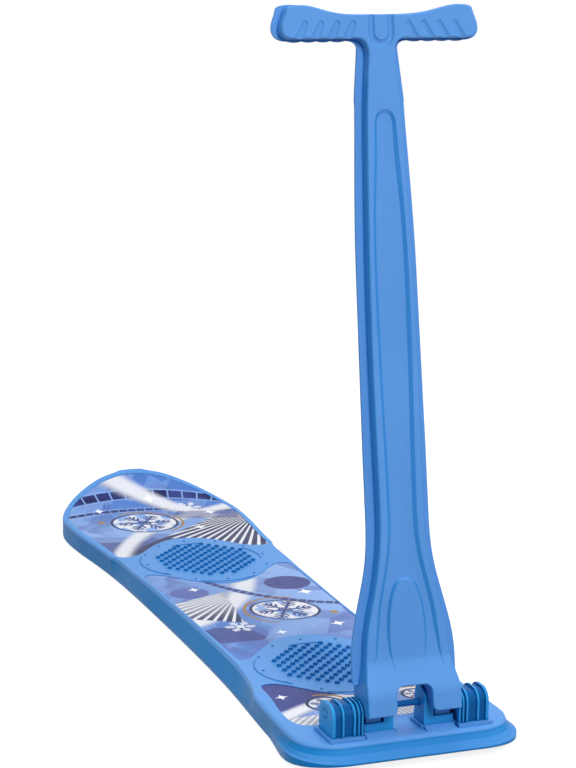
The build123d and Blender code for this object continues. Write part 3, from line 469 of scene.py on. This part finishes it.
def rear_print():
    p = Print("rear_print", LABEL_MIDDLES["rear"])
    sky(p, 70.0, -60.0, 120.0)
    p.lay(p.times(p.shard((-125, -130), (-20, -130), (-34, -62), (-125, -34)), 0.85), VIOLET)
    p.lay(p.times(p.shard((-125, -64), (-48, -78), (-8, -40), (-60, -18), (-125, -26)), 0.55), SKY_PALE)
    p.lay(p.times(p.shard((-70, -130), (10, -130), (24, -66), (-30, -46)), 0.60), PERIWINKLE)
    p.lay(p.times(p.shard((-125, 44), (-70, 60), (-30, 150), (-125, 150)), 0.55), SKY_PALE)
    p.panes((-20.0, -250.0), 358.0, 15.0, 54.0)
    p.panes((-40.0, -262.0), 332.0, 8.0, 84.0)
    p.sweep((-260.0, -180.0), 390.0, 24.0)
    field = p.times(p.half((18.0, -40.0), -52.0, 1.5), p.half((10.0, 4.0), -82.0, 1.5))
    fan(p, field, (150.0, 20.0), 84.0, 20.0, 190.0, NAVY)
    p.sweep((205.0, -262.0), 330.0, 20.0)
    p.lay(p.times(p.shard((20, 18), (110, -6), (120, 30), (40, 52)), 0.60), VIOLET)
    p.medallion((-22.0, 8.0), 47.0, 25.0)
    p.lay(p.crystal((60.0, 62.0), 19.0, 28.0, 2.4), PAPER)
    p.lay(p.disc((-78.0, 26.0), 5.6, 0.4), AMBER)
    p.sparkles((12.0, 96.0, 17.0), (82.0, 34.0, 17.0), (-68.0, 74.0, 12.0), (44.0, -34.0, 15.0))
    return p.film()


def middle_print():
    p = Print("middle_print", LABEL_MIDDLES["middle"])
    sky(p, 205.0, -70.0, 110.0)
    p.lay(p.disc((66.0, 88.0), 30.0, 1.0, 1.1), VIOLET)
    p.lay(p.disc((-66.0, 84.0), 25.0, 1.0, 1.2), PERIWINKLE)
    p.lay(p.times(p.shard((-104, -108), (-30, -112), (-44, -66), (-80, -52), (-104, -66)), 0.85), VIOLET)
    p.lay(p.times(p.shard((10, -112), (104, -112), (104, -40), (58, -66)), 0.60), PERIWINKLE)
    p.lay(p.times(p.shard((-40, -112), (40, -112), (64, -62), (6, -50)), 0.60), SKY_PALE)
    p.sweep((-240.0, 200.0), 272.0, 26.0)
    field = p.half((-34.0, 0.0), 172.0, 1.5)
    for edge, turn in (((-60.0, -34.0), 62.0), ((-60.0, 62.0), -70.0)):
        field = p.times(field, p.half(edge, turn, 1.5))
    ground = p.mix(p.ramp(p.along(90.0), -30.0, 50.0), NAVY, GREY)
    fan(p, field, (-8.0, 66.0), 60.0, 18.0, 150.0, ground)
    p.panes((190.0, 210.0), 238.0, 10.0, 66.0)
    p.medallion((24.0, -14.0), 44.0, 150.0, 1.15)
    p.lay(p.crystal((-50.0, -58.0), 19.0, 20.0, 2.4), PAPER)
    p.lay(p.disc((78.0, -40.0), 5.2, 0.4), AMBER)
    p.sparkles((74.0, 46.0, 17.0), (-56.0, 96.0, 13.0), (66.0, -82.0, 15.0), (-10.0, -92.0, 12.0))
    return p.film()


def front_print():
    p = Print("front_print", LABEL_MIDDLES["front"])
    sky(p, 90.0, -60.0, 70.0)
    dusk = p.mix(p.ramp(p.along(0.0), -90.0, 60.0), VIOLET, NAVY)
    p.lay(p.half((0.0, -2.0), 98.0, 0.8), dusk)
    p.sweep((30.0, -220.0), 232.0, 17.0)
    fan(p, p.half((0.0, -30.0), -84.0, 1.0), (0.0, 40.0), 120.0, 30.0, 190.0, GREY)
    p.medallion((-52.0, -10.0), 22.0, 9.0)
    p.medallion((54.0, -12.0), 17.0, 15.0)
    p.sparkles((-90.0, 24.0, 12.0), (84.0, 18.0, 12.0), (0.0, -30.0, 10.0))
    return p.film()


def paint():
    """Gives every carried node its finish."""
    hinge, axle, washer, screw = hinge_material(), axle_material(), washer_material(), screw_material()
    finishes = {
        "deck_shell": board_material(),
        "sole_plate": sole_material(),
        "rear_label": rear_print(),
        "middle_label": middle_print(),
        "front_label": front_print(),
        "handle_moulding": handle_material(),
        "axle_rod": axle,
        "sole_screws": screw,
        "hinge_screws": screw,
    }
    for side in ("right", "left"):
        finishes[f"{side}_outer_bracket"] = hinge
        finishes[f"{side}_inner_cradle"] = hinge
        finishes[f"{side}_axle_cap"] = hinge
        finishes[f"{side}_friction_washer"] = washer
    for name, material in finishes.items():
        slots = NODES[name].data.materials
        if len(slots):
            for index in range(len(slots)):
                slots[index] = material
        else:
            slots.append(material)


def make_camera():
    """The photograph's view: from in front of the nose, off to the -X side, a little above the bar."""
    data = bpy.data.cameras.new("camera")
    data.sensor_width = CAMERA_SENSOR
    data.lens = CAMERA_LENS
    camera = bpy.data.objects.new("camera", data)
    columns = zip(CAMERA_RIGHT, CAMERA_UP, CAMERA_FORWARD, CAMERA_PLACE)
    rows = [(right, up, -forward, place) for right, up, forward, place in columns]
    camera.matrix_world = Matrix((*rows, (0.0, 0.0, 0.0, 1.0)))
    bpy.context.scene.collection.objects.link(camera)
    bpy.context.scene.camera = camera


def make_floor():
    """A pale floor that keeps soft shadows and shows nearly white."""
    mesh = bpy.data.meshes.new("floor")
    corners = [(x * FLOOR_REACH, y * FLOOR_REACH, 0) for x, y in ((-1, -1), (1, -1), (1, 1), (-1, 1))]
    mesh.from_pydata(corners, [], [(0, 1, 2, 3)])
    floor = bpy.data.objects.new("floor", mesh)
    floor.location.z = -FLOOR_DROP
    bpy.context.scene.collection.objects.link(floor)
    g = Graph("floor_paper")
    g.shader.inputs["Emission Color"].default_value = (1.0, 1.0, 1.0, 1.0)
    g.put(g.shader.inputs["Emission Strength"], g.times(g.seen(), FLOOR_GLOW))
    mesh.materials.append(g.finish(g.mix(g.noise(35.0, 3.0), *FLOOR_TONES), 0.8, specular=0.0))


def make_world():
    """White behind the object, and for its light a soft dome that is brightest overhead."""
    world = bpy.data.worlds.new("studio")
    bpy.context.scene.world = world
    world.use_nodes = True
    g = Tree(world.node_tree)
    background = g.tree.nodes["Background"]
    background.inputs["Color"].default_value = (1.0, 1.0, 1.0, 1.0)
    height = g.axes(g.coordinates["Generated"])[2]
    dome = g.ramp(height, -0.1, 0.9, DOME_LOW, DOME_HIGH, curve="LINEAR")
    g.put(background.inputs["Strength"], g.ramp(g.seen(), 0.0, 1.0, dome, 1.0, curve="LINEAR"))


def make_lights():
    """Soft square lamps, each turned towards its target."""
    for name, place, target, side, power in LAMPS:
        data = bpy.data.lights.new(name, "AREA")
        data.shape = "SQUARE"
        data.size = side
        data.energy = power
        lamp = bpy.data.objects.new(name, data)
        lamp.location = place
        lamp.rotation_mode = "QUATERNION"
        lamp.rotation_quaternion = (Vector(target) - Vector(place)).to_track_quat("-Z", "Y")
        bpy.context.scene.collection.objects.link(lamp)


paint()
make_camera()
make_floor()
make_world()
make_lights()
bpy.context.scene.view_settings.view_transform = "Standard"
